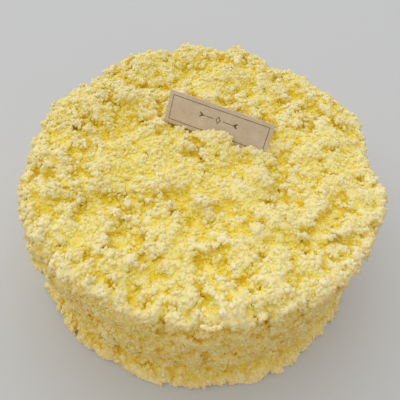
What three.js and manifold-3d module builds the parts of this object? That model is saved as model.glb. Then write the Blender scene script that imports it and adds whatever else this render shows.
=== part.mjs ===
// A round jiggly cheesecake under a thick coat of sieved sponge crumbs, with a small card tucked into it.
// Millimetres, +Z up. The origin is on the flat underside, in the middle of the outline.
import * as THREE from "three";
import { ImprovedNoise } from "three/addons/math/ImprovedNoise.js";
import { mergeVertices } from "three/addons/utils/BufferGeometryUtils.js";
import Module from "manifold-3d";

// The cake's profile, from the middle of its top out over the rim and down to its foot.
const TOP_HEIGHT = 66; // the level that the crumbs lie at on the top
const SHOULDER_RADIUS = 75.5; // where the top rounds over
const SHOULDER_HEIGHT = 65.2;
const RIM_RADIUS = 79.2; // where the crumbs overhang the side most
const RIM_HEIGHT = 57;
const WALL_RADIUS = 78.5;
const WAIST_RADIUS = 77.5; // the shallow groove between the wall's crumbs and those fallen round the foot
const WAIST_HEIGHT = 9;
const SKIRT_RADIUS = 81;
const SKIRT_HEIGHT = 4.5;
const FOOT_RADIUS = 83.5;

// The surface is a finely cut ball, bent into the cake's form.
const BALL_CUTS = 21; // the cuts in each edge of the icosahedron that the ball is made from
const TOP_SHARE = 0.67; // how far down the ball the top reaches: the tangent of half the angle from its pole
const RUN_ON = 6; // how far the wall runs on below the underside before it is cut off level

// The clumps that the crumbs gather in, by their size across and how far they rise.
const CLUMPS = [
  { size: 23, rise: 4.5 },
  { size: 12, rise: 3.5 },
];
const CREASE_WIDTH = 0.06; // rounds the creases between clumps, as a share of the noise's height
const CLUMP_LEVEL = 0.28; // the noise's height where the coat is neither heaped nor hollow
const CORE_RADIUS = 52; // clumps stand away from a disc of this radius inside the cake
const CORE_HEIGHT = 30;
const FOOT_FADE = 3; // over this height the relief at the foot turns level, so that the underside stays flat

// Single heaps and hollows: bearing in degrees from +X, distance out, height above the base, spread and rise.
const HEAPS = [
  { bearing: 158, out: 62, up: 65, spread: 9, rise: 3.5 },
  { bearing: 181, out: 52, up: 65, spread: 8, rise: 3.5 },
  { bearing: 168, out: 42, up: 65, spread: 7, rise: -3 },
  { bearing: 112, out: 58, up: 65, spread: 8, rise: -2.5 },
  { bearing: -62, out: 44, up: 65, spread: 9, rise: 3 },
  { bearing: -40, out: 50, up: 65, spread: 9, rise: -2 },
  { bearing: 60, out: 9, up: 66, spread: 5, rise: 1.5 },
  { bearing: 173, out: 78, up: 60, spread: 14, rise: -4 },
  { bearing: 143, out: 77, up: 62, spread: 10, rise: -2.5 },
  { bearing: 99, out: 76, up: 64, spread: 5, rise: 4 },
  { bearing: 80, out: 76, up: 64, spread: 6, rise: 4.5 },
  { bearing: 5, out: 78, up: 60, spread: 9, rise: -4 },
  { bearing: -84, out: 73, up: 62, spread: 8, rise: 3 },
  { bearing: -165, out: 79, up: 56, spread: 10, rise: -2 },
  { bearing: -142, out: 80, up: 45, spread: 14, rise: 4 },
  { bearing: -55, out: 83, up: 3, spread: 5, rise: 5 },
  { bearing: -113, out: 83, up: 3, spread: 8, rise: -2 },
  { bearing: -126, out: 80, up: 7, spread: 7, rise: 2.5 },
];

// The card, tucked into the crumbs by its lower edge and leaning back.
const CARD_WIDTH = 50;
const CARD_HEIGHT = 15;
const CARD_THICKNESS = 0.6;
const CARD_PLACE = new THREE.Vector3(4.4, 15, 69.4); // its middle
const CARD_TURN = -20; // degrees about Z
const CARD_LEAN = -28; // degrees back from upright
const CARD_GAP = 0.35; // clear of the crumbs all round

const noise = new ImprovedNoise();
const wasm = await Module();
wasm.setup();

// The outline from the top's middle to below the foot, as a smooth curve of radius and height.
function profileCurve() {
  return new THREE.SplineCurve([
    new THREE.Vector2(0, TOP_HEIGHT),
    new THREE.Vector2(SHOULDER_RADIUS / 2, TOP_HEIGHT),
    new THREE.Vector2(SHOULDER_RADIUS, SHOULDER_HEIGHT),
    new THREE.Vector2(RIM_RADIUS, RIM_HEIGHT),
    new THREE.Vector2(WALL_RADIUS, (RIM_HEIGHT + WAIST_HEIGHT) / 2),
    new THREE.Vector2(WAIST_RADIUS, WAIST_HEIGHT),
    new THREE.Vector2(SKIRT_RADIUS, SKIRT_HEIGHT),
    new THREE.Vector2(FOOT_RADIUS, 0),
    new THREE.Vector2(FOOT_RADIUS, -RUN_ON),
  ]);
}

// Rounded lumps with creases between them, about zero on average.
function clumpField(point, size) {
  const height = noise.noise(point.x / size, point.y / size, point.z / size);
  return Math.hypot(height, CREASE_WIDTH) - CLUMP_LEVEL;
}

function heapHeight(point, heap) {
  const bearing = THREE.MathUtils.degToRad(heap.bearing);
  const middle = new THREE.Vector3(heap.out * Math.cos(bearing), heap.out * Math.sin(bearing), heap.up);
  return heap.rise * Math.exp(-point.distanceToSquared(middle) / (2 * heap.spread ** 2));
}

function relief(point) {
  const clumps = CLUMPS.reduce((sum, { size, rise }) => sum + rise * clumpField(point, size), 0);
  return HEAPS.reduce((sum, heap) => sum + heapHeight(point, heap), clumps);
}

// Straight up over the core disc, and away from the disc's edge outside it.
function outward(point) {
  const across = new THREE.Vector2(point.x, point.y);
  const nearest = across.clone().clampLength(0, CORE_RADIUS);
  const away = new THREE.Vector3(point.x - nearest.x, point.y - nearest.y, point.z - CORE_HEIGHT);
  const level = THREE.MathUtils.smoothstep(point.z, 0, FOOT_FADE);
  away.z *= level;
  return away.normalize();
}

// A point of the unit ball carried onto the cake. Small facets keep their proportions, because on the wall
// the distance along the profile grows with the logarithm of the distance from the ball's pole.
function carried(curve, { x, y, z }) {
  const fromPole = Math.tan(Math.acos(THREE.MathUtils.clamp(z, -1, 1)) / 2) / TOP_SHARE;
  const along = RIM_RADIUS * (fromPole < 1 ? fromPole : 1 + Math.log(fromPole));
  const length = curve.getLength();
  const { x: radius, y: height } = curve.getPointAt(Math.min(1, along / length));
  const bearing = Math.atan2(y, x);
  const point = new THREE.Vector3(radius * Math.cos(bearing), radius * Math.sin(bearing), height);
  point.addScaledVector(outward(point), relief(point));
  const inward = Math.exp(Math.min(0, length - along) / RIM_RADIUS);
  return new THREE.Vector3(point.x * inward, point.y * inward, point.z);
}

// The crumb coat's outer surface, closed below the underside.
function crumbSurface() {
  const geometry = new THREE.IcosahedronGeometry(1, BALL_CUTS);
  const place = geometry.getAttribute("position");
  const curve = profileCurve();
  const ballPoint = new THREE.Vector3();
  for (let i = 0; i < place.count; i++) {
    ballPoint.fromBufferAttribute(place, i);
    place.setXYZ(i, ...carried(curve, ballPoint));
  }
  return geometry;
}

// What lies below the level that the cake stands on.
function ground() {
  const size = 4 * FOOT_RADIUS;
  return new THREE.BoxGeometry(size, size, size).translate(0, 0, -size / 2);
}

function solidOf(geometry) {
  const bare = geometry.clone().deleteAttribute("normal").deleteAttribute("uv");
  const merged = mergeVertices(bare, 1e-3);
  return new wasm.Manifold(
    new wasm.Mesh({
      numProp: 3,
      vertProperties: merged.getAttribute("position").array,
      triVerts: new Uint32Array(merged.index.array),
    }),
  );
}

function geometryOf(solid) {
  const mesh = solid.getMesh();
  const geometry = new THREE.BufferGeometry();
  geometry.setAttribute("position", new THREE.BufferAttribute(mesh.vertProperties, 3));
  geometry.setIndex(new THREE.BufferAttribute(mesh.triVerts, 1));
  geometry.computeVertexNormals();
  return geometry;
}

// A card's box in its place, with room for `gap` on every side.
function cardMesh(gap) {
  const box = new THREE.BoxGeometry(CARD_WIDTH + 2 * gap, CARD_THICKNESS + 2 * gap, CARD_HEIGHT + 2 * gap);
  const paper = new THREE.MeshStandardMaterial({ color: 0xd9cbb2, roughness: 0.7, metalness: 0 });
  const mesh = new THREE.Mesh(box, paper);
  mesh.position.copy(CARD_PLACE);
  mesh.rotation.set(THREE.MathUtils.degToRad(CARD_LEAN), 0, THREE.MathUtils.degToRad(CARD_TURN), "ZYX");
  mesh.updateMatrix();
  return mesh;
}

function cake() {
  const slit = cardMesh(CARD_GAP);
  const body = solidOf(crumbSurface())
    .subtract(solidOf(ground()))
    .subtract(solidOf(slit.geometry.applyMatrix4(slit.matrix)));
  const crumb = new THREE.MeshStandardMaterial({ color: 0xf2de8e, roughness: 0.95, metalness: 0 });
  const mesh = new THREE.Mesh(geometryOf(body), crumb);
  mesh.name = "cake";
  return mesh;
}

function card() {
  const mesh = cardMesh(0);
  mesh.name = "card";
  return mesh;
}

const cheesecake = new THREE.Group();
cheesecake.add(cake(), card());
const middle = new THREE.Box3().setFromObject(cheesecake).getCenter(new THREE.Vector3());
cheesecake.position.set(-middle.x, -middle.y, 0); // the outline's middle is the origin
export default cheesecake;
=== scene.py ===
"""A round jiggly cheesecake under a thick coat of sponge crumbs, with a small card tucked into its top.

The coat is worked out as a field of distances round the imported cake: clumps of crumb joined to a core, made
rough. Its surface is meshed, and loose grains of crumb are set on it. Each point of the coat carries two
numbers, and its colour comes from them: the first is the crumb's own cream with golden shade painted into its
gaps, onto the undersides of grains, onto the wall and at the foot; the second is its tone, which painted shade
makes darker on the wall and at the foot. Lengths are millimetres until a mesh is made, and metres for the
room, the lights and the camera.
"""

import math
from collections import namedtuple

import bpy
import numpy as np
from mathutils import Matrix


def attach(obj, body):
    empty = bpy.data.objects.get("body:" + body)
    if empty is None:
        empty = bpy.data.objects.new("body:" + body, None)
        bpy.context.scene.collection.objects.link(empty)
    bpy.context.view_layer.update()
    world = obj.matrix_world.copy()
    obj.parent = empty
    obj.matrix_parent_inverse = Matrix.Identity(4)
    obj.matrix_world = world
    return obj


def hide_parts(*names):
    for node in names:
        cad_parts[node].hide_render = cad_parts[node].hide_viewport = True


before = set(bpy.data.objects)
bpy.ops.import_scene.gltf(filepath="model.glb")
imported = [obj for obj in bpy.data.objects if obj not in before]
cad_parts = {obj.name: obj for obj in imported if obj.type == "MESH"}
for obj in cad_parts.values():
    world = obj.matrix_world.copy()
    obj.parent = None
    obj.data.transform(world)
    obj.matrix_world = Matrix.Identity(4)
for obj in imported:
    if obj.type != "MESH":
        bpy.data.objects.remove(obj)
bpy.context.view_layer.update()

import openvdb
from mathutils import Matrix, Vector

MM = 0.001  # a millimetre in metres
RNG = np.random.default_rng(8)

# The grid that the core's form is worked out on.
CELL = 0.96
MARGIN = 5.0  # how far the grid reaches past the cake
BAND = 8.0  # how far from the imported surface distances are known

# The core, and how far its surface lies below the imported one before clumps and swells.
CORE_DEPTH = 2.4
FOOT_DEPTH = 1.1
CORE_HEADROOM = 0.5  # the least depth, which leaves room for the crumb
CORE_DEEPEST = 4.0  # the greatest depth, apart from the fine roughness
FOOT = (3.0, 14.0)  # heights between which the foot passes into the wall
STEEP = 0.5  # a surface whose normal rises less than this is wall
SPLIT = 0.65  # share of the cake's height where the core's two pieces meet
FLOOR_GAP = 0.02
FLAT = 0.005  # how far the points of the flat base may lie from its level

# The core's clumps, each of several stretched balls, its lumps.
Lumps = namedtuple("Lumps", "where clumps lumps spread radii depth")
LUMPS = [
    Lumps("top", 420, 6, 3.0, (1.8, 3.8), 1.7),
    Lumps("top", 1500, 5, 1.6, (0.9, 1.9), 1.5),
    Lumps("wall", 330, 5, 2.9, (1.7, 3.4), 1.9),
    Lumps("wall", 2400, 5, 1.4, (0.8, 1.7), 1.3),
]
LUMP_ASIDE = 0.6  # how far a lump strays along the surface, as a share of its clump's spread
LUMP_RISE = 0.55  # how far a clump strays up or down, as a share of its depth
LUMP_STRAY = 0.4  # how far a lump strays up or down in its clump
LUMP_SUNK = 1.8  # how far a lump may lie below its clump's depth
BALL_LONG = 0.62  # share of the squared distance along its axis that a fully stretched ball leaves out
BALL_REACH = 1.5  # how far a ball is worked out, in radii
FURROW = (1.0, 0.25, 0.0)  # the direction that the balls are longest in
STRAY = 0.6  # how far they stray from it
STRETCH = (0.3, 1.0)  # how fully they are stretched
LUMP_SIZES = (1.3, 2.0)  # the beta spread of their radii

# Swells and roughness of the core.
SWELL = 1.35
SWELL_CELLS = 4  # how many cells a swell is smooth over
FOOT_SWELL = 0.25
RIM = (0.77, 0.89)  # shares of the cake's reach between which the swells grow calmer
RIM_SWELL = 0.2
COARSE_SIDE = 0.15  # how much stronger the swells are on the left, and weaker on the right
ROUGHNESS = 0.75
CELL_NOISE = 0.2

# The crumb round the card: banked up before it, and lower behind it.
CARD_GAP = 0.3  # clear space round the card
BANK_DEPTH = 0.2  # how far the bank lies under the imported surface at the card
BANK_SLOPE = 0.3  # how much deeper it lies for each millimetre from the card
CARD_CLEARING = 1.2  # how much lower the crumb lies behind the card
CLEARING_REACH = 4.0  # how far from the card that fades away

# Clumps of grains on the core.
CLUMPS = 3000
CLUMP_WIDTH = (1.0, 2.4)
CLUMP_HEIGHT = (0.3, 1.3)
CLUMP_SPREAD = 0.62
CLUMP_TAPER = 1.15  # a clump's spread at its foot, and at its top one less
CLUMP_UP = 1.2  # how far a grain in a clump faces up rather than aside
WALL_SHARE = 0.6  # of the clumps that as much of the top would have, and of their height
CLUMP_SIZES = (1.6, 2.2)  # the beta spread of their widths and heights
COARSER = 0.3  # how much wider and taller the clumps grow towards the left and the back
LEAN_BACK = 0.5  # how much the back counts for beside the left
LEAN_REACH = 0.7  # share of the cake's reach where they are at their coarsest
LEAN_LEAST = -0.6  # where they are at their finest

# Kinds of loose grain: their number, radii and paleness, and the share of them in clumps.
Grains = namedtuple("Grains", "count radii pale clumped")
GRAINS = {
    "crumb_dust": Grains(15000, (0.4, 0.7), (0.2, 1.0), 0.2),
    "crumb_flecks": Grains(24900, (0.6, 1.0), (0.1, 1.0), 0.2),
    "crumb_bits": Grains(24900, (0.75, 1.2), (0.1, 0.9), 0.3),
    "crumb_flakes": Grains(24900, (0.85, 1.4), (0.3, 1.0), 0.4),
}
GRAIN_SIZES = (1.5, 2.5)  # the beta spread of their radii
GRAIN_RISE = (-0.55, 0.25)  # a grain's middle over its place, in radii
GRAIN_UNEVEN = (0.65, 1.35)  # how far its corners are pulled in and out
GRAIN_STRETCH = (0.75, 1.25)
GRAIN_LIMIT = 1.4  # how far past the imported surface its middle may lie
GRAIN_CLEAR = 1.1  # its least distance from the card, in radii
OPEN = 1.0  # how far from the floor and the card a face carries grains
SOFTNESS = 0.4  # how far a grain's shading leans to that of the surface it lies on

# How many cells each way the crumb is averaged over, to tell how full it is round a point.
NEAR_CELLS = 1
WIDE_CELLS = 2
BROAD_CELLS = 6

# Colour and painted shade: the crumb's own cream, with golden shade painted on where a point lies in the
# gaps of the crumb. The painted shade grows with how full the crumb is round it.
# the crumb's own cream, before painted shade
CRUMB_LEVEL = 0.23
# painted shade in the gaps, by how full the crumb is near, wide and broad round a point
PAINTED_SHADE_NEAR = 0.2
PAINTED_SHADE_WIDE = 2.5
PAINTED_SHADE_BROAD = 1.6
PAINTED_SHADE_AWAY = 0.45  # painted shade on a point that faces away from the outside, such as a grain's underside
# painted shade on the upright wall
PAINTED_SHADE_WALL = 0.04
# more golden towards the left
GOLDEN_TO_LEFT = 0.07
# painted shade at the foot, near the floor
PAINTED_SHADE_FOOT = 0.15
WALL_SHADE_SHARE = 0.6  # how strong the painted shade of the gaps and undersides is on the wall
FOOT_SHADE_REACH = 5.0  # how far up the painted shade at the foot reaches

# Tone: how pale a point is, at random, less the painted shade on the wall and at the foot.
CORE_TONE = (0.5, 0.25)  # the core's mean, and how far it strays
# painted shade that darkens the wall
WALL_SHADE_TONE = 0.45
# painted shade that darkens the foot, near the floor
FOOT_SHADE_TONE = 0.3

# Colours of the crumb: by its colour and painted shade, from its own cream to golden painted shade, and by
# tone.
CRUMB_AND_SHADE_COLOURS = [(0.0, (252, 247, 212)), (0.45, (250, 241, 148)), (1.0, (247, 230, 72))]
TONE_COLOURS = [(0.0, (255, 234, 194)), (0.3, (255, 248, 214)), (1.0, (255, 255, 255))]

# The card's paper and print. Each noise has its waves to a metre and its detail.
MOTTLE = (160, 4)
FIBRES = (1400, 3)
PATCHES = (700, 2)
FIBRE_STRETCH = (0.35, 1.0, 1.0)  # draws the fibres' waves out in x
PAPER_COLOURS = [(0.3, (212, 196, 175)), (0.7, (224, 210, 191))]
FIBRE_COLOURS = [(0.3, (246, 243, 238)), (0.6, (255, 255, 255))]
INK_COLOURS = [(0.35, (124, 96, 34)), (0.7, (150, 124, 60))]
CARD_MARGIN = 1.7
INK_THICKNESS = 0.03
LINE_WIDTH = 0.32
DIAMOND = 3.6  # height of the ornament's diamond
DIAMOND_WIDTH = 0.7  # share of its height
DIAMOND_INSIDE = 0.62  # share of the diamond that is bare
ORNAMENT_RISE = 1.2  # of the ornament above the card's middle
RULE_LENGTH = 6.0
RULE_GAP = 1.0
LEAF = (1.08, 0.432)  # half its length and half its width
LEAF_TILT = 35  # degrees
LEAF_STEP = 0.42

# The room, the lights and the camera, in metres.
FLOOR_SIZE = 12
FLOOR_COLOUR = (204, 208, 211)
ROOM_COLOUR = (250, 243, 241)
ROOM_STRENGTH = 0.39
Light = namedtuple("Light", "place size power colour")
LIGHTS = {
    "window": Light((-0.9, 1.0, 2.4), (7.0, 7.0), 135, (1.0, 0.99, 0.97)),
    "fill": Light((0.9, -2.2, 0.9), (2.6, 1.6), 5, (1.0, 0.76, 0.45)),
}
LIGHT_AIM = (0, 0, 0.03)
CAMERA_PLACE = (-0.0004, -0.1362, 0.2088)
CAMERA_AIM = (-0.0006, 0.0233, 0.0)
CAMERA_ROLL = 5.5  # degrees
CAMERA_LENS = 40.5


def unit(vectors):
    """The vectors at a length of one."""
    return vectors / np.linalg.norm(vectors, axis=-1, keepdims=True)


def between(low_high, share):
    """The number that lies this share of the way from the low one to the high one."""
    return low_high[0] + (low_high[1] - low_high[0]) * share


def flattened(vectors, normals):
    """The vectors without their part along the normals."""
    return vectors - (vectors * normals).sum(1, keepdims=True) * normals


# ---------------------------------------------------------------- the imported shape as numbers


def mesh_arrays(node):
    """A node's points and its triangles."""
    mesh = node.data
    mesh.calc_loop_triangles()
    points = np.empty(len(mesh.vertices) * 3, np.float32)
    mesh.vertices.foreach_get("co", points)
    triangles = np.empty(len(mesh.loop_triangles) * 3, np.int32)
    mesh.loop_triangles.foreach_get("vertices", triangles)
    return points.reshape(-1, 3) / MM, triangles.reshape(-1, 3)


class Box:
    """The card's box: its middle, its axes (across, up and towards its reader) and half its sizes."""

    def __init__(self, points):
        self.middle = (points.min(0) + points.max(0)) / 2
        axes = np.linalg.svd(points - self.middle, full_matrices=False)[2]
        towards = np.array([(1, 0, 0), (0, 0, 1), (0, -1, 0)], float)
        self.axes = axes * np.sign((axes * towards).sum(1))[:, None]
        self.half = np.abs((points - self.middle) @ self.axes.T).max(0)

    def distance(self, points):
        """How far points lie from the box, negative inside."""
        past = np.abs((points - self.middle) @ self.axes.T) - self.half
        outside = np.linalg.norm(np.maximum(past, 0), axis=-1)
        return outside + np.minimum(past.max(-1), 0)

    def in_front(self, points):
        """Which points lie on the side that the card faces."""
        return (points - self.middle) @ self.axes[2] > 0


class Grid:
    """Cells round the cake, with a number at each corner."""

    def __init__(self, low, high):
        self.low = low - MARGIN
        self.shape = tuple(np.ceil((high + MARGIN - self.low) / CELL).astype(int) + 1)

    def axes(self):
        """The places of the corners along x, y and z."""
        return [(self.low[i] + CELL * np.arange(n)).astype(np.float32) for i, n in enumerate(self.shape)]

    def distance_to(self, points, triangles):
        """The distance to a closed mesh, negative inside."""
        level = openvdb.FloatGrid.createLevelSetFromPolygons(
            ((points - self.low) / CELL).astype(np.float32),
            triangles=triangles.astype(np.uint32),
            halfWidth=BAND / CELL,
        )
        found = np.empty(self.shape, np.float32)
        level.copyToArray(found, ijk=(0, 0, 0))
        return found * CELL

    def add_ball(self, field, middle, radius, stretch):
        """Joins a stretched ball into the field, in place."""
        reach = radius * BALL_REACH + 2 * CELL
        first = np.maximum(np.floor((middle - reach - self.low) / CELL), 0).astype(int)
        last = np.minimum(np.ceil((middle + reach - self.low) / CELL).astype(int) + 1, self.shape)
        block = tuple(slice(a, b) for a, b in zip(first, last))
        steps = [self.low[i] + CELL * np.arange(first[i], last[i]) - middle[i] for i in range(3)]
        x, y, z = np.meshgrid(*steps, indexing="ij", sparse=True)
        along = x * stretch[0] + y * stretch[1] + z * stretch[2]
        length = np.sqrt(np.maximum(x * x + y * y + z * z - BALL_LONG * along * along, 0))
        np.minimum(field[block], length - radius, out=field[block])

    def read(self, field, points):
        """The field's values at points in between the cells."""
        last = np.array(self.shape) - 1.001  # a little inside the last corner
        at = np.clip((points - self.low) / CELL, 0, last)
        cell = at.astype(int)
        part = at - cell
        total = np.zeros(len(points))
        for corner in np.ndindex(2, 2, 2):
            weight = np.where(corner, part, 1 - part).prod(1)
            total += weight * field[tuple((cell + corner).T)]
        return total

    def surface(self, field):
        """The field's zero surface, as points and triangles that face out."""
        level = openvdb.FloatGrid(background=float(field.max()))
        level.copyFromArray(field, ijk=(0, 0, 0))
        points, triangles, quads = level.convertToPolygons(isovalue=0.0, adaptivity=0.0)
        faces = np.concatenate([triangles, quads[:, [0, 1, 2]], quads[:, [0, 2, 3]]])
        return points * CELL + self.low, faces.astype(np.int64)


def blurred(field, reach):
    """The field averaged over a cube that reaches so many cells each way."""
    for axis in range(3):
        wide = [(reach + 1, reach) if a == axis else (0, 0) for a in range(3)]
        sums = np.cumsum(np.pad(field, wide, "edge"), axis, dtype=np.float64)
        sums = np.moveaxis(sums, axis, 0)
        field = np.moveaxis((sums[2 * reach + 1 :] - sums[: -2 * reach - 1]) / (2 * reach + 1), 0, axis)
    return field.astype(np.float32)


def roughness(shape, reach):
    """Random numbers, smooth over so many cells, of about one either way."""
    noise = blurred(blurred(RNG.standard_normal(shape, dtype=np.float32), reach), reach)
    return noise / noise.std()


# ---------------------------------------------------------------- meshes


def crosses(points, faces):
    """The direction of each triangle, as long as twice its area."""
    corners = points[faces]
    return np.cross(corners[:, 1] - corners[:, 0], corners[:, 2] - corners[:, 0])


def normals_of(points, faces):
    """The surface's direction at each point."""
    across = crosses(points, faces)
    total = np.zeros_like(points)
    for corner in range(3):
        for axis in range(3):
            total[:, axis] += np.bincount(faces[:, corner], across[:, axis], len(points))
    return total / np.maximum(np.linalg.norm(total, axis=1, keepdims=True), 1e-9)


def scatter(points, faces, count, wanted):
    """Random places on a mesh, spread by area over the wanted share of each face.

    It also gives the surface's directions there, and the faces that the places lie on.
    """
    across = crosses(points, faces)
    area = np.linalg.norm(across, axis=1)
    share = area * wanted
    face = RNG.choice(len(area), count, p=share / share.sum())
    a, b = RNG.random((2, count, 1))
    fold = a + b > 1
    a, b = np.where(fold, 1 - a, a), np.where(fold, 1 - b, b)
    p, q, r = points[faces[face]].transpose(1, 0, 2)
    return p + a * (q - p) + b * (r - p), across[face] / area[face, None], face


def with_flat_base(points, faces):
    """The mesh, with its flat base made of triangles that meet in the middle."""
    flat = (np.abs(points[:, 2] - FLOOR_GAP) < FLAT)[faces].all(1)
    base = faces[flat]
    edges = np.concatenate([base[:, [0, 1]], base[:, [1, 2]], base[:, [2, 0]]])
    outline = edges[~np.isin(edges @ (len(points), 1), edges[:, ::-1] @ (len(points), 1))]
    middle = points[outline[:, 0]].mean(0, keepdims=True)
    fan = np.column_stack([outline, np.full(len(outline), len(points))])
    return np.concatenate([points, middle]), np.concatenate([faces[~flat], fan])


def new_piece(name, points, faces, material, looks, normals):
    """A mesh object of the coat; looks are its colour-and-painted-shade and tone numbers, point by point."""
    mesh = bpy.data.meshes.new(name)
    count, corners = faces.shape
    mesh.vertices.add(len(points))
    mesh.vertices.foreach_set("co", (points * MM).astype(np.float32).ravel())
    mesh.loops.add(count * corners)
    mesh.loops.foreach_set("vertex_index", faces.astype(np.int32).ravel())
    mesh.polygons.add(count)
    mesh.polygons.foreach_set("loop_start", np.arange(count, dtype=np.int32) * corners)
    mesh.update(calc_edges=True)
    mesh.shade_smooth()
    mesh.normals_split_custom_set_from_vertices(normals)
    mesh.materials.append(material)
    layer = mesh.uv_layers.new(name="OFBake")
    layer.uv.foreach_set("vector", np.stack(looks, 1)[faces.ravel()].astype(np.float32).ravel())
    piece = bpy.data.objects.new(name, mesh)
    bpy.context.scene.collection.objects.link(piece)
    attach(piece, "root")
    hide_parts("cake")


# ---------------------------------------------------------------- materials


def linear(red, green, blue):
    """An sRGB colour of 0 to 255 as linear numbers."""
    share = [c / 255 for c in (red, green, blue)]
    return [s / 12.92 if s <= 0.04045 else ((s + 0.055) / 1.055) ** 2.4 for s in share] + [1.0]


class Look:
    """A new material, with short ways to add nodes to it."""

    def __init__(self, name, **numbers):
        self.material = bpy.data.materials.new(name)
        self.material.use_nodes = True
        self.nodes = self.material.node_tree.nodes
        self.shader = self.nodes["Principled BSDF"].inputs
        for socket, number in numbers.items():
            self.shader[socket.replace("_", " ")].default_value = number

    def node(self, kind, **numbers):
        """A new node with numbers on its sockets."""
        made = self.nodes.new(kind)
        for socket, number in numbers.items():
            made.inputs[socket.replace("_", " ")].default_value = number
        return made

    def link(self, output, target):
        """Joins an output to a socket."""
        self.material.node_tree.links.new(output, target)

    def ramp(self, share, stops):
        """A colour by a share, from stops of a place and an sRGB colour."""
        made = self.node("ShaderNodeValToRGB")
        elements = made.color_ramp.elements
        while len(elements) < len(stops):
            elements.new(0.5)
        for element, (position, colour) in zip(elements, stops):
            element.position = position
            element.color = linear(*colour)
        self.link(share, made.inputs["Fac"])
        return made.outputs["Color"]

    def noise(self, place, scale, detail):
        """Noise of so many waves to a metre."""
        made = self.node("ShaderNodeTexNoise", Scale=scale, Detail=detail)
        self.link(place, made.inputs["Vector"])
        return made.outputs["Fac"]

    def product(self, first, second):
        """Two colours multiplied."""
        made = self.nodes.new("ShaderNodeMix")
        made.data_type = "RGBA"
        made.blend_type = "MULTIPLY"
        made.inputs["Factor"].default_value = 1.0
        self.link(first, made.inputs["A"])
        self.link(second, made.inputs["B"])
        return made.outputs["Result"]


def crumb_material():
    """Sponge crumb: pale cream where it stands out, with golden shade painted into the gaps, and matt."""
    look = Look("sponge_crumb", Roughness=0.9, Specular_IOR_Level=0.15, Diffuse_Roughness=0.2)
    looks = look.node("ShaderNodeUVMap")
    looks.uv_map = "OFBake"
    split = look.node("ShaderNodeSeparateXYZ")
    look.link(looks.outputs["UV"], split.inputs["Vector"])
    # the first number gives cream to golden painted shade
    by_colour_and_shade = look.ramp(split.outputs["X"], CRUMB_AND_SHADE_COLOURS)
    by_tone = look.ramp(split.outputs["Y"], TONE_COLOURS)
    look.link(look.product(by_colour_and_shade, by_tone), look.shader["Base Color"])
    return look.material


def paper_material():
    """Uncoated card: a warm grey with a faint mottle, short fibres and a slight tooth."""
    look = Look("card_paper", Specular_IOR_Level=0.3)
    place = look.node("ShaderNodeTexCoord").outputs["Object"]
    stretch = look.node("ShaderNodeMapping", Scale=FIBRE_STRETCH)
    look.link(place, stretch.inputs["Vector"])
    mottle = look.noise(place, *MOTTLE)
    fibres = look.noise(stretch.outputs["Vector"], *FIBRES)
    colour = look.product(look.ramp(mottle, PAPER_COLOURS), look.ramp(fibres, FIBRE_COLOURS))
    look.link(colour, look.shader["Base Color"])
    rough = look.node("ShaderNodeMapRange", To_Min=0.5, To_Max=0.75)
    look.link(fibres, rough.inputs["Value"])
    look.link(rough.outputs["Result"], look.shader["Roughness"])
    tooth = look.node("ShaderNodeBump", Strength=0.25, Distance=0.05 * MM)
    look.link(fibres, tooth.inputs["Height"])
    look.link(tooth.outputs["Normal"], look.shader["Normal"])
    return look.material


def ink_material():
    """Olive brown ink, a little uneven where the paper took less of it."""
    look = Look("card_ink", Roughness=0.45)
    place = look.node("ShaderNodeTexCoord").outputs["Object"]
    look.link(look.ramp(look.noise(place, *PATCHES), INK_COLOURS), look.shader["Base Color"])
    return look.material


# ---------------------------------------------------------------- the core


def add_clumps(grid, field, kind):
    """Joins clumps of stretched balls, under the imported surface, into the core's field."""
    wall = normals_of(cake_points, cake_triangles)[cake_triangles].mean(1)[:, 2] < STEEP
    raised = cake_points[cake_triangles][:, :, 2].mean(1) > FLOOR_GAP / 2
    wanted = raised & (wall == (kind.where == "wall"))
    place, normal, _ = scatter(cake_points, cake_triangles, kind.clumps, wanted)
    rise = RNG.normal(-kind.depth, LUMP_RISE * kind.depth, kind.clumps)
    count = kind.clumps * kind.lumps
    place, normal, rise = (np.repeat(values, kind.lumps, 0) for values in (place, normal, rise))
    aside = flattened(RNG.normal(size=(count, 3)) * kind.spread * LUMP_ASIDE, normal)
    rise = (rise + RNG.normal(0, LUMP_STRAY, count)).clip(-kind.depth - LUMP_SUNK, -CORE_HEADROOM)
    radius = between(kind.radii, RNG.beta(*LUMP_SIZES, count))
    stretch = unit(RNG.normal(size=(count, 3)) * STRAY + FURROW) * RNG.uniform(*STRETCH, (count, 1))
    middle = place + aside + normal * (rise - radius)[:, None]
    for values in zip(middle, radius, stretch):
        grid.add_ball(field, *values)


def calmness(x, y, z):
    """How strong the swells are: calmer at the foot and at the rim, and stronger on the left."""
    calm = np.interp(z, FOOT, (FOOT_SWELL, 1)) * np.interp(np.hypot(x, y) / cake_reach, RIM, (1, RIM_SWELL))
    return (calm * (1 - COARSE_SIDE * x / cake_reach)).astype(np.float32)


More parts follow.
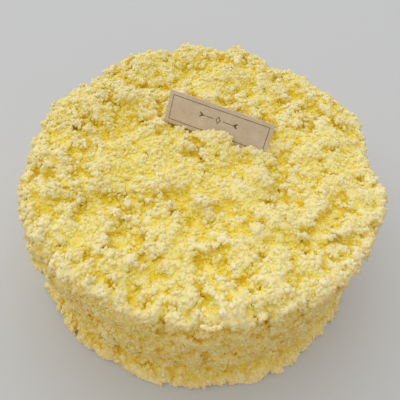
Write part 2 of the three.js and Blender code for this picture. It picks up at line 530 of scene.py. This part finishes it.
class Core:
    """The core's field, and how crowded the crumb is round a point."""

    def __init__(self):
        self.grid = Grid(cake_points.min(0), cake_points.max(0))
        self.packed = self.packed_distance()
        x, y, z = np.meshgrid(*self.grid.axes(), indexing="ij", sparse=True)
        corners = np.stack(np.broadcast_arrays(x, y, z), -1)
        from_card = card_box.distance(corners)
        before_card = card_box.in_front(corners)
        field = self.packed + np.interp(z, FOOT, (FOOT_DEPTH, CORE_DEPTH)).astype(np.float32)
        for kind in LUMPS:
            add_clumps(self.grid, field, kind)
        bank = (self.packed + BANK_DEPTH + BANK_SLOPE * from_card).astype(np.float32)
        field = np.where(before_card, np.minimum(field, bank), field)
        field = self.roughened(field, calmness(x, y, z))
        clearing = np.exp(-((from_card / CLEARING_REACH) ** 2))
        field += (np.where(before_card, 0, CARD_CLEARING) * clearing).astype(np.float32)
        under = np.broadcast_to(FLOOR_GAP - z, field.shape)
        self.field = np.maximum.reduce([field, self.packed + CORE_HEADROOM, CARD_GAP - from_card, under])
        self.full = np.clip(0.5 - self.field / CELL, 0, 1)

    def packed_distance(self):
        """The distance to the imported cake, with its underside far below so that the foot keeps its depth."""
        sunk = cake_points.copy()
        sunk[sunk[:, 2] < FLOOR_GAP, 2] -= 3 * MARGIN
        return self.grid.distance_to(sunk, cake_triangles)

    def roughened(self, field, calm):
        """The field with its swells, held to the deepest level, and with its fine roughness."""
        field += SWELL * roughness(self.grid.shape, SWELL_CELLS) * calm
        field = np.minimum(field, self.packed + CORE_DEEPEST)
        field += ROUGHNESS * roughness(self.grid.shape, 1)
        return field + CELL_NOISE * RNG.standard_normal(self.grid.shape, dtype=np.float32)

    def fill(self, middles, sizes):
        """Counts grains in, by their volume."""
        cells = np.round((middles - self.grid.low) / CELL).astype(int).clip(0, np.array(self.grid.shape) - 1)
        index = np.ravel_multi_index(cells.T, self.grid.shape)
        volume = 4 / 3 * math.pi * (sizes / CELL) ** 3
        self.full += np.bincount(index, volume, self.full.size).reshape(self.full.shape)

    def settle(self):
        """Works out how full the crumb is near, wide and broad round each place, once all grains are in."""
        full = self.full.clip(0, 1)
        self.near = blurred(full, NEAR_CELLS)
        self.wide = blurred(blurred(full, WIDE_CELLS), WIDE_CELLS)
        self.broad = blurred(self.wide, BROAD_CELLS)
        self.smooth = blurred(self.packed, WIDE_CELLS)

    def outward(self, points):
        """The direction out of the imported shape."""
        read = self.grid.read
        rise = [read(self.smooth, points + s) - read(self.smooth, points - s) for s in np.eye(3) * 2 * CELL]
        return unit(np.stack(rise, 1) + 1e-6)

    def looks(self, points, normals, tone):
        """Each point's colour with golden painted shade in the gaps and on undersides, 0 to 1, and how pale it
        is.
        """
        outward = self.outward(points)
        upright = 1 - outward[:, 2].clip(0, 1)
        # how near the floor a point is, for the painted shade at the foot
        foot = np.exp(-points[:, 2] / FOOT_SHADE_REACH)
        # painted shade on faces turned away from the outside, such as the undersides of grains
        colour_and_shade = PAINTED_SHADE_AWAY * (1 - (normals * outward).sum(1))
        # painted shade where the crumb is full round a point, deep in its gaps
        for weight, full in ((PAINTED_SHADE_NEAR, self.near), (PAINTED_SHADE_WIDE, self.wide), (PAINTED_SHADE_BROAD, self.broad)):
            colour_and_shade += weight * (self.grid.read(full, points) - 0.5)
        colour_and_shade *= between((1, WALL_SHADE_SHARE), upright)
        # the crumb's own level, with painted shade on the wall and at the foot, and more golden towards the
        # left
        colour_and_shade += CRUMB_LEVEL + PAINTED_SHADE_WALL * upright - GOLDEN_TO_LEFT * points[:, 0] / cake_reach + PAINTED_SHADE_FOOT * foot
        # the tone, darkened by painted shade on the wall and at the foot
        return [colour_and_shade.clip(0, 1), (tone - WALL_SHADE_TONE * upright - FOOT_SHADE_TONE * foot).clip(0, 1)]


# ---------------------------------------------------------------- the grains


class Clumps:
    """Heaps of grains on the core: their middles, directions, widths and heights."""

    def __init__(self, points, faces, open_face):
        wall = normals_of(points, faces)[faces].mean(1)[:, 2] < STEEP
        share = np.where(wall, WALL_SHARE, 1.0)
        self.place, self.normal, face = scatter(points, faces, CLUMPS, open_face * share)
        lean = (-self.place[:, 0] + LEAN_BACK * self.place[:, 1]) / (LEAN_REACH * cake_reach)
        coarse = 1.0 + COARSER * np.clip(lean, LEAN_LEAST, 1)
        self.width = between(CLUMP_WIDTH, RNG.beta(*CLUMP_SIZES, CLUMPS)) * coarse
        self.height = between(CLUMP_HEIGHT, RNG.beta(*CLUMP_SIZES, CLUMPS)) * coarse * share[face]

    def places(self, count):
        """Places for grains in the clumps, and the clumps' directions there."""
        share = self.width**2 * self.height
        pick = RNG.choice(CLUMPS, count, p=share / share.sum())
        normal = self.normal[pick]
        up = RNG.random((count, 1))
        aside = flattened(RNG.normal(size=(count, 3)) * CLUMP_SPREAD * (CLUMP_TAPER - up), normal)
        reach = aside * self.width[pick, None]
        rise = up * self.height[pick, None] * normal
        return self.place[pick] + reach + rise, unit(aside + CLUMP_UP * normal)


def lay_grains(core, points, faces):
    """Places, sizes and directions of each kind of grain, some in clumps and the rest spread evenly."""
    middle = points[faces].mean(1)
    open_face = (middle[:, 2] > OPEN) & (card_box.distance(middle) > OPEN)
    clumps = Clumps(points, faces, open_face)
    laid = {}
    for name, kind in GRAINS.items():
        together = int(kind.count * kind.clumped)
        place, normal = clumps.places(together)
        spread, spread_normal, _ = scatter(points, faces, kind.count - together, open_face)
        size = between(kind.radii, RNG.beta(*GRAIN_SIZES, kind.count))
        normal = np.concatenate([normal, spread_normal])
        rise = normal * (size * RNG.uniform(*GRAIN_RISE, kind.count))[:, None]
        place = np.concatenate([place, spread]) + rise
        clear = (card_box.distance(place) > size * GRAIN_CLEAR) & (place[:, 2] > size)
        clear &= core.grid.read(core.packed, place) < GRAIN_LIMIT
        laid[name] = place[clear], size[clear], normal[clear]
        core.fill(place[clear], size[clear])
    return laid


def rotations(count):
    """Random turns, as matrices."""
    w, x, y, z = unit(RNG.normal(size=(count, 4))).T
    rows = [
        [1 - 2 * (y * y + z * z), 2 * (x * y - z * w), 2 * (x * z + y * w)],
        [2 * (x * y + z * w), 1 - 2 * (x * x + z * z), 2 * (y * z - x * w)],
        [2 * (x * z - y * w), 2 * (y * z + x * w), 1 - 2 * (x * x + y * y)],
    ]
    return np.array(rows).transpose(2, 0, 1)


def octahedron():
    """Its six corners and eight triangles."""
    points = np.concatenate([np.eye(3), -np.eye(3)])
    faces = []
    for x, y, z in np.ndindex(2, 2, 2):
        face = [3 * x, 1 + 3 * y, 2 + 3 * z]
        faces.append(face if (x + y + z) % 2 == 0 else face[::-1])
    return points, np.array(faces)


def grain_mesh(middles, sizes):
    """Rough grains of six corners, each pulled out of shape in its own way."""
    points, faces = octahedron()
    count = len(middles)
    rough = points * RNG.uniform(*GRAIN_UNEVEN, (count, len(points), 1))
    stretch = RNG.uniform(*GRAIN_STRETCH, (count, 1, 3))
    turned = np.einsum("nij,nkj->nki", rotations(count), rough * stretch)
    places = middles[:, None] + turned * sizes[:, None, None]
    places[:, :, 2] = places[:, :, 2].clip(FLOOR_GAP)
    index = faces[None] + (np.arange(count) * len(points))[:, None, None]
    return places.reshape(-1, 3), index.reshape(-1, faces.shape[1])


# ---------------------------------------------------------------- the cake


def add_core(core, points, faces, material):
    """The core's mesh, in an upper and a lower piece."""
    normal = normals_of(points, faces)
    tone = CORE_TONE[0] + CORE_TONE[1] * RNG.normal(size=len(points))
    looks = core.looks(points, normal, tone)
    upper = points[faces][:, :, 2].min(1) > SPLIT * cake_top
    for name, part in (("crumb_core_upper", faces[upper]), ("crumb_core_lower", faces[~upper])):
        used, index = np.unique(part, return_inverse=True)
        index = index.reshape(part.shape)
        new_piece(name, points[used], index, material, [look[used] for look in looks], normal[used])


def add_grains(core, name, place, size, normal, material):
    """One kind of grain, as one piece."""
    points, faces = grain_mesh(place, size)
    each = len(points) // len(place)
    tone = np.repeat(between(GRAINS[name].pale, RNG.random(len(place))), each)
    own = normals_of(points, faces)
    soft = unit(own + SOFTNESS * np.repeat(normal, each, 0))
    new_piece(name, points, faces, material, core.looks(points, own, tone), soft)


def build_cake():
    """The crumb coat: its core, and the loose grains on it."""
    core = Core()
    points, faces = with_flat_base(*core.grid.surface(core.field))
    laid = lay_grains(core, points, faces)
    core.settle()
    material = crumb_material()
    add_core(core, points, faces, material)
    for name, (place, size, normal) in laid.items():
        add_grains(core, name, place, size, normal, material)


# ---------------------------------------------------------------- the card


def rectangle(across, up):
    """A rectangle's outline, from half its sizes."""
    return [(-across, -up), (across, -up), (across, up), (-across, up)]


def oval(across, up, points=24):
    """An oval's outline, from half its sizes."""
    turns = [2 * math.pi * i / points for i in range(points)]
    return [(across * math.cos(t), up * math.sin(t)) for t in turns]


def placed(outline, across, up, degrees=0):
    """An outline turned about the origin and then moved."""
    c, s = math.cos(math.radians(degrees)), math.sin(math.radians(degrees))
    return [(across + c * x - s * y, up + s * x + c * y) for x, y in outline]


def add_ring(points, outline, raised):
    """Adds an outline's points at a height over the card's front, and gives their numbers."""
    across = np.array(outline) @ card_box.axes[:2]
    first = len(points)
    points.extend(card_box.middle + across + (card_box.half[2] + raised) * card_box.axes[2])
    return list(range(first, first + len(outline)))


def strip(first, second):
    """The faces between two rings."""
    return list(zip(first, first[1:] + first[:1], second[1:] + second[:1], second))


def printed(name, shapes, material):
    """Ink on the card's front: each shape is one outline, or two with ink between them."""
    points, faces = [], []
    for outer, *inner in shapes:
        rings = [add_ring(points, outer, -INK_THICKNESS), add_ring(points, outer, INK_THICKNESS)]
        if inner:
            rings += [add_ring(points, inner[0], INK_THICKNESS), add_ring(points, inner[0], -INK_THICKNESS)]
            faces += strip(rings[1], rings[2]) + strip(rings[2], rings[3]) + strip(rings[3], rings[0])
        else:
            faces += [tuple(rings[1]), tuple(rings[0][::-1])]
        faces += strip(rings[0], rings[1])
    mesh = bpy.data.meshes.new(name)
    mesh.from_pydata([tuple(p * MM) for p in points], [], faces)
    mesh.materials.append(material)
    piece = bpy.data.objects.new(name, mesh)
    bpy.context.scene.collection.objects.link(piece)
    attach(piece, "root")


def frame_line():
    """The shape of a thin line round the card's front."""
    across, up = card_box.half[:2] - CARD_MARGIN
    return [(rectangle(across, up), rectangle(across - LINE_WIDTH, up - LINE_WIDTH))]


def ornament():
    """The shapes of a diamond between two rules that end in leaves."""
    up = DIAMOND / 2
    across = up * DIAMOND_WIDTH
    diamond = [(0, -up), (across, 0), (0, up), (-across, 0)]
    shapes = [(diamond, [(x * DIAMOND_INSIDE, y * DIAMOND_INSIDE) for x, y in diamond])]
    rule = rectangle(RULE_LENGTH / 2, LINE_WIDTH / 2)
    for side in (-1, 1):
        reach = across + RULE_GAP + RULE_LENGTH / 2
        shapes.append([placed(rule, side * reach, 0)])
        for turn in (-1, 1):
            tip = side * (reach + RULE_LENGTH / 2)
            shapes.append([placed(oval(*LEAF), tip, turn * LEAF_STEP, side * turn * LEAF_TILT)])
    return [[placed(outline, 0, ORNAMENT_RISE) for outline in shape] for shape in shapes]


def build_card():
    """The card's paper, a thin frame round its front, and a small ornament."""
    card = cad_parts["card"]
    card.data.materials.clear()
    card.data.materials.append(paper_material())
    ink = ink_material()
    printed("card_frame", frame_line(), ink)
    printed("card_ornament", ornament(), ink)


# ---------------------------------------------------------------- floor, light and camera


def build_floor():
    """A plain pale floor."""
    bpy.ops.mesh.primitive_plane_add(size=FLOOR_SIZE, location=(0, 0, 0))
    floor = bpy.context.object
    floor.name = "floor"
    look = Look("floor", Base_Color=linear(*FLOOR_COLOUR), Roughness=0.9)
    floor.data.materials.append(look.material)


def build_room():
    """Even light from all round."""
    world = bpy.data.worlds.new("room")
    bpy.context.scene.world = world
    world.use_nodes = True
    background = world.node_tree.nodes["Background"].inputs
    background["Color"].default_value = linear(*ROOM_COLOUR)
    background["Strength"].default_value = ROOM_STRENGTH


def aimed(place, aim):
    """The turn that looks from a place towards another."""
    return (Vector(aim) - Vector(place)).to_track_quat("-Z", "Y")


def build_lights():
    """A large soft window behind the cake, and a weak warm fill before it."""
    for name, light in LIGHTS.items():
        lamp = bpy.data.lights.new(name, "AREA")
        lamp.shape = "RECTANGLE"
        lamp.size, lamp.size_y = light.size
        lamp.energy = light.power
        lamp.color = light.colour
        holder = bpy.data.objects.new(name, lamp)
        holder.location = light.place
        holder.rotation_euler = aimed(light.place, LIGHT_AIM).to_euler()
        bpy.context.scene.collection.objects.link(holder)


def build_camera():
    """The camera, above the cake's front and rolled a little."""
    camera = bpy.data.cameras.new("camera")
    camera.sensor_width = 36
    camera.lens = CAMERA_LENS
    camera.clip_start = 0.01
    holder = bpy.data.objects.new("camera", camera)
    turn = aimed(CAMERA_PLACE, CAMERA_AIM).to_matrix().to_4x4()
    roll = Matrix.Rotation(math.radians(CAMERA_ROLL), 4, "Z")
    holder.matrix_world = Matrix.Translation(CAMERA_PLACE) @ turn @ roll
    bpy.context.scene.collection.objects.link(holder)
    bpy.context.scene.camera = holder


cake_points, cake_triangles = mesh_arrays(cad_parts["cake"])
cake_reach, cake_top = cake_points.max(0)[[0, 2]]
card_box = Box(mesh_arrays(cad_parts["card"])[0])
build_cake()
build_card()
build_floor()
build_room()
build_lights()
build_camera()
bpy.context.scene.view_settings.view_transform = "Standard"
bpy.context.scene.cycles.diffuse_bounces = 10
